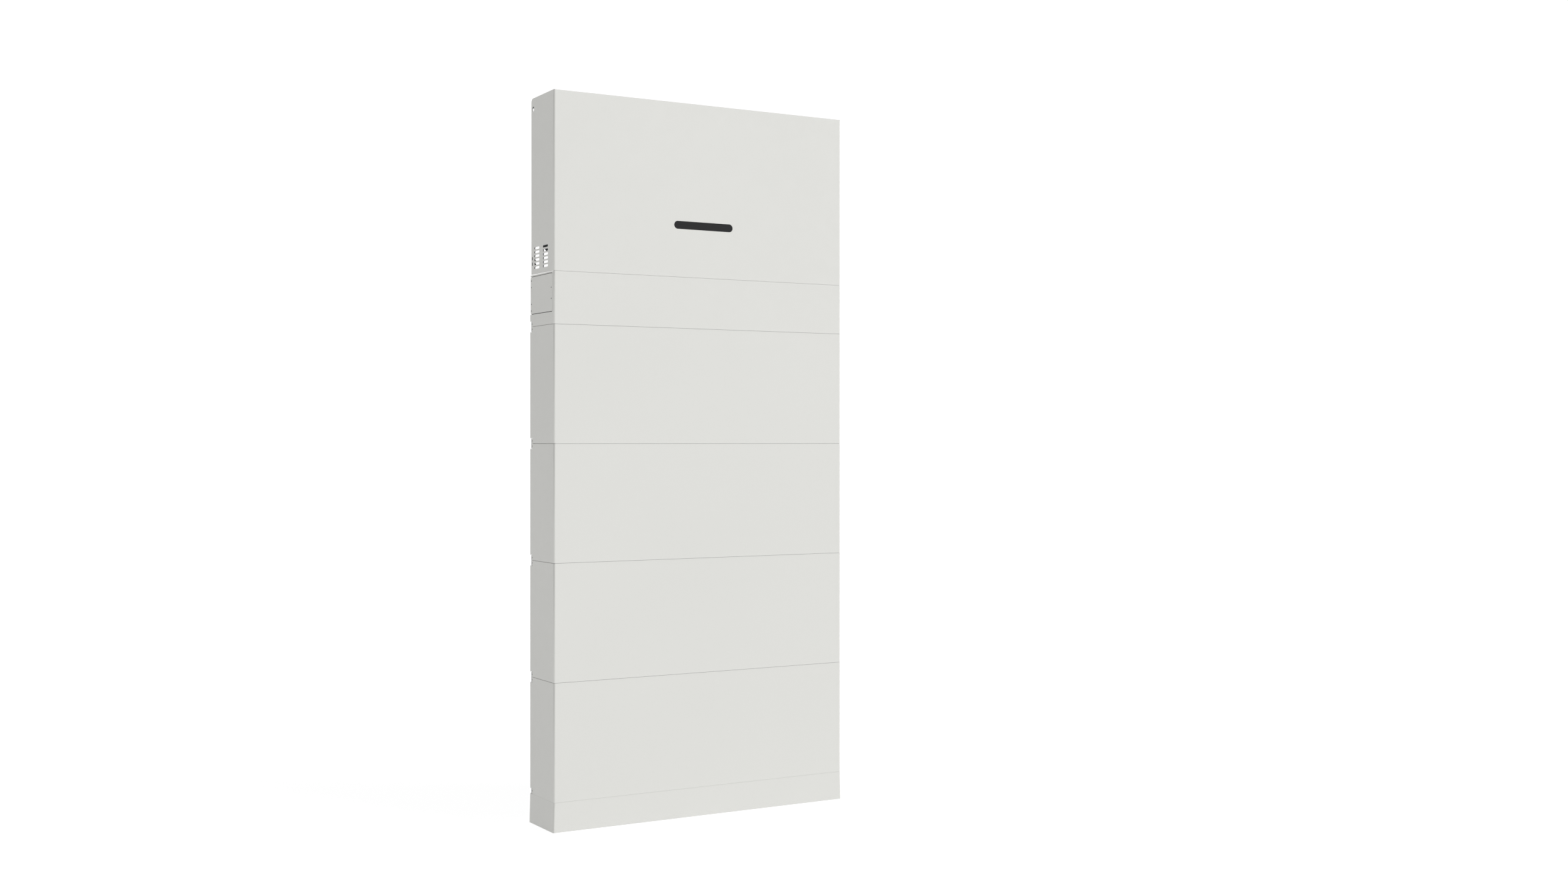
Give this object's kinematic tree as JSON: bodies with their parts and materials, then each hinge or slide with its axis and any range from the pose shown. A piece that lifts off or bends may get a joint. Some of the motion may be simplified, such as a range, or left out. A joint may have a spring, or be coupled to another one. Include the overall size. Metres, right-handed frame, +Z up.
{
  "type": "home battery stack",
  "caption": "Slim floor-standing home battery stack in pale grey sheet metal: plinth, battery modules, control box with service covers, and an inverter under a lift-off vented hood.",
  "frame": {"origin": "centre of the footprint, on the floor under the plinth", "axes": "+Z up along the stack, -Y out of the front, +Y into the wall, +X to the right as seen from the front"},
  "size_m": [0.8386, 0.15, 1.831],
  "materials": {
    "painted_sheet": "fine-textured powder coat, warm light grey",
    "zinc_sheet": "zinc-plated sheet, satin",
    "cell_sleeve": "aluminium can in a blue film sleeve",
    "cast_alloy": "bead-blasted cast aluminium",
    "copper": "bare copper, slightly dulled",
    "circuit_board": "green solder mask",
    "fastener_steel": "plated steel",
    "black_plastic": "moulded black nylon, satin",
    "grey_plastic": "moulded grey thermoset",
    "red_plastic": "moulded red, semi-gloss",
    "capacitor_sleeve": "aluminium can in a dark sleeve",
    "light_lens": "translucent green lens",
    "dark_glass": "smoked acrylic window",
    "badge_plastic": "black, semi-gloss"
  },
  "bodies": {
    "stack": {"plinth": "painted_sheet", "locating_pins": "fastener_steel", "stack_plugs": "black_plastic", "stack_sockets": "black_plastic", "link_blocks": "painted_sheet", "link_screws": "fastener_steel", "module_1_case": "painted_sheet", "module_1_rear_cover": "zinc_sheet", "module_1_cells": "cell_sleeve", "module_1_pack_frame": "cast_alloy", "module_1_busbars": "copper", "module_1_monitor_board": "circuit_board", "module_2_case": "painted_sheet", "module_2_rear_cover": "zinc_sheet", "module_2_cells": "cell_sleeve", "module_2_pack_frame": "cast_alloy", "module_2_busbars": "copper", "module_2_monitor_board": "circuit_board", "module_3_case": "painted_sheet", "module_3_rear_cover": "zinc_sheet", "module_3_cells": "cell_sleeve", "module_3_pack_frame": "cast_alloy", "module_3_busbars": "copper", "module_3_monitor_board": "circuit_board", "module_4_case": "painted_sheet", "module_4_rear_cover": "zinc_sheet", "module_4_cells": "cell_sleeve", "module_4_pack_frame": "cast_alloy", "module_4_busbars": "copper", "module_4_monitor_board": "circuit_board", "control_case": "painted_sheet", "control_rear_cover": "zinc_sheet", "control_board": "circuit_board", "contactors": "black_plastic", "breaker_body": "grey_plastic", "status_lights": "light_lens", "terminal_blocks": "black_plastic", "cable_glands": "black_plastic", "wall_brackets": "zinc_sheet", "wall_plate": "zinc_sheet", "inverter_case": "cast_alloy", "inverter_front_cover": "painted_sheet", "heat_sink": "cast_alloy", "power_board": "circuit_board", "chokes": "copper", "capacitors": "capacitor_sleeve", "display_window": "dark_glass", "pv_connectors": "black_plastic", "ac_connectors": "black_plastic", "isolator_base": "black_plastic"},
    "hood": {"hood_shell": "painted_sheet", "hood_badge": "badge_plastic"},
    "left_cover": {"left_side_cover": "painted_sheet", "left_cover_screws": "fastener_steel"},
    "right_cover": {"right_side_cover": "painted_sheet", "right_cover_screws": "fastener_steel"},
    "breaker_lever": {"breaker_lever": "red_plastic"},
    "power_button": {"power_button": "black_plastic"},
    "isolator_knob": {"isolator_knob": "red_plastic"}
  },
  "joints": [
    {"name": "hood_pull_off", "type": "slide", "parent": "stack", "child": "hood", "axis": [0, -1, 0], "range_m": [0, 0.3]},
    {"name": "left_cover_pull_off", "type": "slide", "parent": "stack", "child": "left_cover", "axis": [-1, 0, 0], "range_m": [0, 0.12]},
    {"name": "right_cover_pull_off", "type": "slide", "parent": "stack", "child": "right_cover", "axis": [1, 0, 0], "range_m": [0, 0.12]},
    {"name": "breaker_flip", "type": "hinge", "parent": "stack", "child": "breaker_lever", "pos_m": [0.38725, -0.018, 1.332], "axis": [0, 1, 0], "range_deg": [0, 70]},
    {"name": "power_button_press", "type": "slide", "parent": "stack", "child": "power_button", "axis": [-1, 0, 0], "range_m": [0, 0.0025], "stiffness_N_per_m": 900},
    {"name": "isolator_turn", "type": "hinge", "parent": "stack", "child": "isolator_knob", "pos_m": [0.25, -0.023, 1.54], "axis": [1, 0, 0], "range_deg": [0, 90]}
  ]
}
